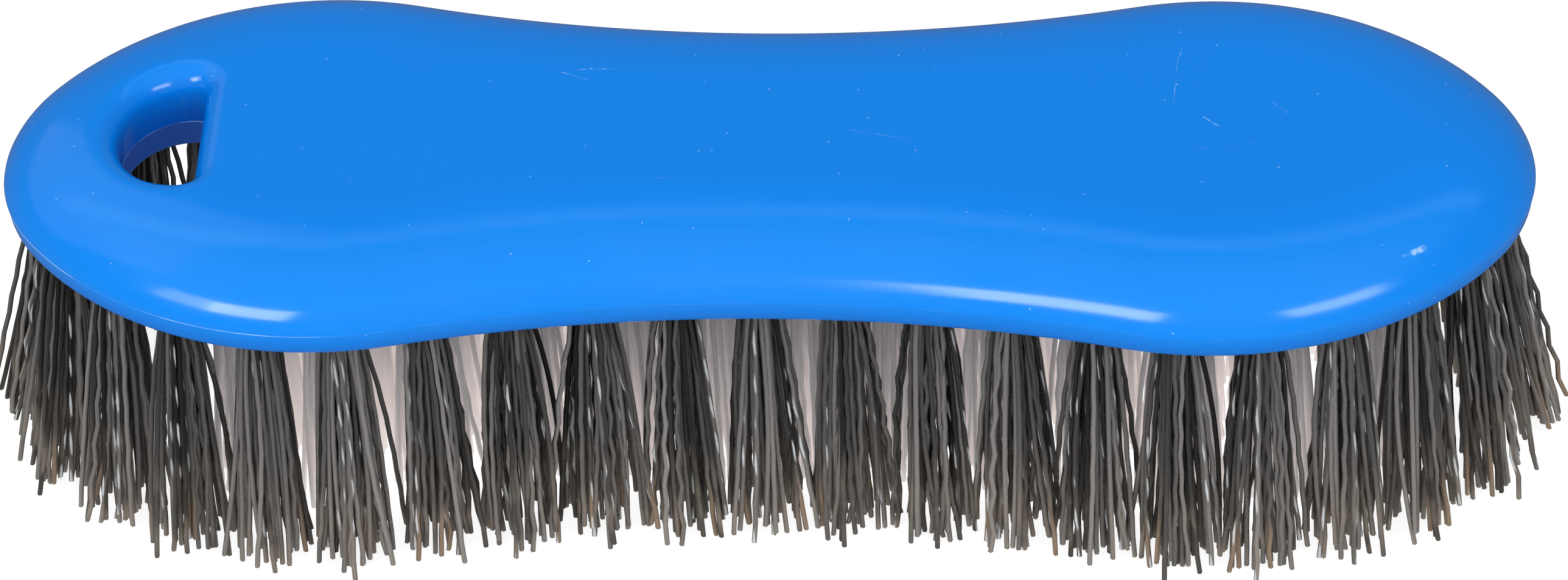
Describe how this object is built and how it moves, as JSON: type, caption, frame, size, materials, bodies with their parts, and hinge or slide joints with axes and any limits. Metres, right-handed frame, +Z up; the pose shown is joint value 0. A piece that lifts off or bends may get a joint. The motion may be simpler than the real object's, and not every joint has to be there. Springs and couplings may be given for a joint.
{
  "type": "scrub brush",
  "caption": "Hand-held floor scrub brush: waisted plastic block with a hanging hole, grey outer bristle tufts and white inner ones.",
  "frame": {"origin": "on the floor that the bristle tips stand on, under the middle of the block", "axes": "+X along the block, away from its hanging hole; +Z up, out of the bristles and through the block; -Y is the pictured front"},
  "size_m": [0.2074, 0.069, 0.049],
  "materials": {
    "block_blue": "satin gloss moulded polypropylene, blue",
    "bristle_grey": "crimped dark grey filament with a soft sheen",
    "bristle_white": "milky white filament, slightly see-through"
  },
  "bodies": {
    "root": {"brush_block": "block_blue", "grey_tuft_01": "bristle_grey", "grey_tuft_02": "bristle_grey", "grey_tuft_03": "bristle_grey", "grey_tuft_04": "bristle_grey", "grey_tuft_05": "bristle_grey", "grey_tuft_06": "bristle_grey", "grey_tuft_07": "bristle_grey", "grey_tuft_08": "bristle_grey", "grey_tuft_09": "bristle_grey", "grey_tuft_10": "bristle_grey", "grey_tuft_11": "bristle_grey", "grey_tuft_12": "bristle_grey", "grey_tuft_13": "bristle_grey", "grey_tuft_14": "bristle_grey", "grey_tuft_15": "bristle_grey", "grey_tuft_16": "bristle_grey", "grey_tuft_17": "bristle_grey", "grey_tuft_18": "bristle_grey", "grey_tuft_19": "bristle_grey", "grey_tuft_20": "bristle_grey", "grey_tuft_21": "bristle_grey", "grey_tuft_22": "bristle_grey", "grey_tuft_23": "bristle_grey", "grey_tuft_24": "bristle_grey", "grey_tuft_25": "bristle_grey", "grey_tuft_26": "bristle_grey", "grey_tuft_27": "bristle_grey", "grey_tuft_28": "bristle_grey", "grey_tuft_29": "bristle_grey", "grey_tuft_30": "bristle_grey", "grey_tuft_31": "bristle_grey", "grey_tuft_32": "bristle_grey", "grey_tuft_33": "bristle_grey", "grey_tuft_34": "bristle_grey", "grey_tuft_35": "bristle_grey", "grey_tuft_36": "bristle_grey", "grey_tuft_37": "bristle_grey", "grey_tuft_38": "bristle_grey", "grey_tuft_39": "bristle_grey", "grey_tuft_40": "bristle_grey", "white_tuft_01": "bristle_white", "white_tuft_02": "bristle_white", "white_tuft_03": "bristle_white", "white_tuft_04": "bristle_white", "white_tuft_05": "bristle_white", "white_tuft_06": "bristle_white", "white_tuft_07": "bristle_white", "white_tuft_group_01": "bristle_white", "white_tuft_group_02": "bristle_white", "white_tuft_group_03": "bristle_white", "white_tuft_group_04": "bristle_white", "white_tuft_group_05": "bristle_white", "white_tuft_group_06": "bristle_white", "white_tuft_group_07": "bristle_white", "white_tuft_group_08": "bristle_white", "white_tuft_group_09": "bristle_white", "white_tuft_group_10": "bristle_white", "white_tuft_group_11": "bristle_white"}
  },
  "joints": []
}
